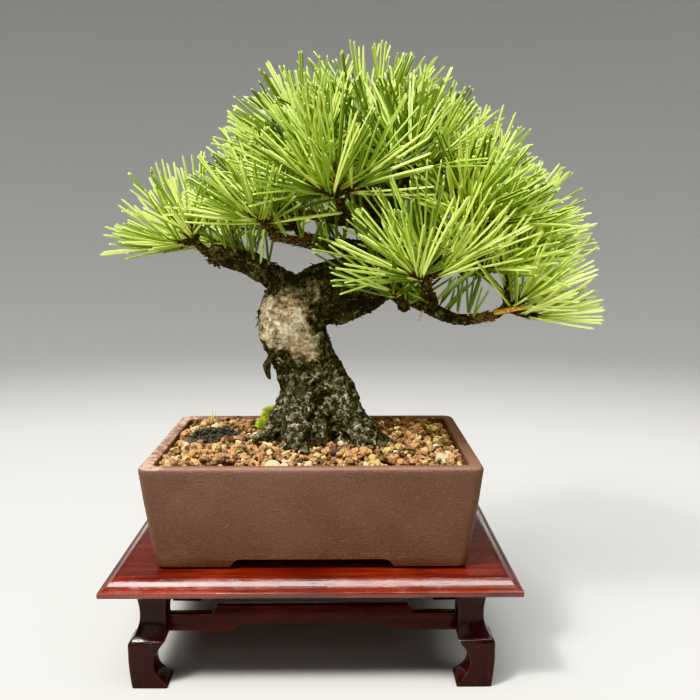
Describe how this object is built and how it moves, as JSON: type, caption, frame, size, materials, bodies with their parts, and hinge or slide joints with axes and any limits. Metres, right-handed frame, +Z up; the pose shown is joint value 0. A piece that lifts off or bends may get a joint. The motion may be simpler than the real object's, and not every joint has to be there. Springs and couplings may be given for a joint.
{
  "type": "potted bonsai on stand",
  "caption": "Small pine bonsai with an S-curved trunk and a domed crown of needle tufts, in a flared rectangular unglazed pot on a low wooden display stand.",
  "frame": {"origin": "below the middle of the whole object's bounding box, on the surface that the stand's feet rest on", "axes": "+X to the right seen from the front, +Y away from the viewer, +Z up"},
  "size_m": [0.1986, 0.1594, 0.243],
  "materials": {
    "rosewood": "polished dark red",
    "stoneware": "unglazed matt reddish brown",
    "grit": "loose orange-brown grains",
    "bark": "rough plated bark",
    "needle_green": "bright yellow-green needles"
  },
  "bodies": {
    "root": {"stand_top": "rosewood", "leg_front_left": "rosewood", "leg_front_right": "rosewood", "leg_back_left": "rosewood", "leg_back_right": "rosewood", "rail_front": "rosewood", "rail_back": "rosewood", "rail_left": "rosewood", "rail_right": "rosewood", "pot": "stoneware", "soil": "grit", "trunk": "bark", "bough_left": "bark", "bough_left_back": "bark", "bough_thin_left": "bark", "bough_front_left": "bark", "bough_outer_left": "bark", "bough_upper_left": "bark", "bough_back_left": "bark", "bough_front": "bark", "bough_front_upper": "bark", "bough_right_front": "bark", "bough_upper_right": "bark", "bough_right_upper": "bark", "bough_right": "bark", "bough_right_low": "bark", "bough_right_middle": "bark", "bough_low_right": "bark", "bough_front_right": "bark", "bough_low_sprig": "bark", "bough_back": "bark", "bough_back_right": "bark", "bough_back_low": "bark", "bough_back_right_low": "bark", "foliage_left": "needle_green", "foliage_left_back": "needle_green", "foliage_thin_left": "needle_green", "foliage_front_left": "needle_green", "foliage_outer_left": "needle_green", "foliage_upper_left": "needle_green", "foliage_back_left": "needle_green", "foliage_front": "needle_green", "foliage_front_upper": "needle_green", "foliage_right_front": "needle_green", "foliage_upper_right": "needle_green", "foliage_right_upper": "needle_green", "foliage_right": "needle_green", "foliage_right_low": "needle_green", "foliage_right_middle": "needle_green", "foliage_low_right": "needle_green", "foliage_front_right": "needle_green", "foliage_low_sprig": "needle_green", "foliage_back": "needle_green", "foliage_back_right": "needle_green", "foliage_back_low": "needle_green", "foliage_back_right_low": "needle_green", "foliage_top": "needle_green"}
  },
  "joints": []
}
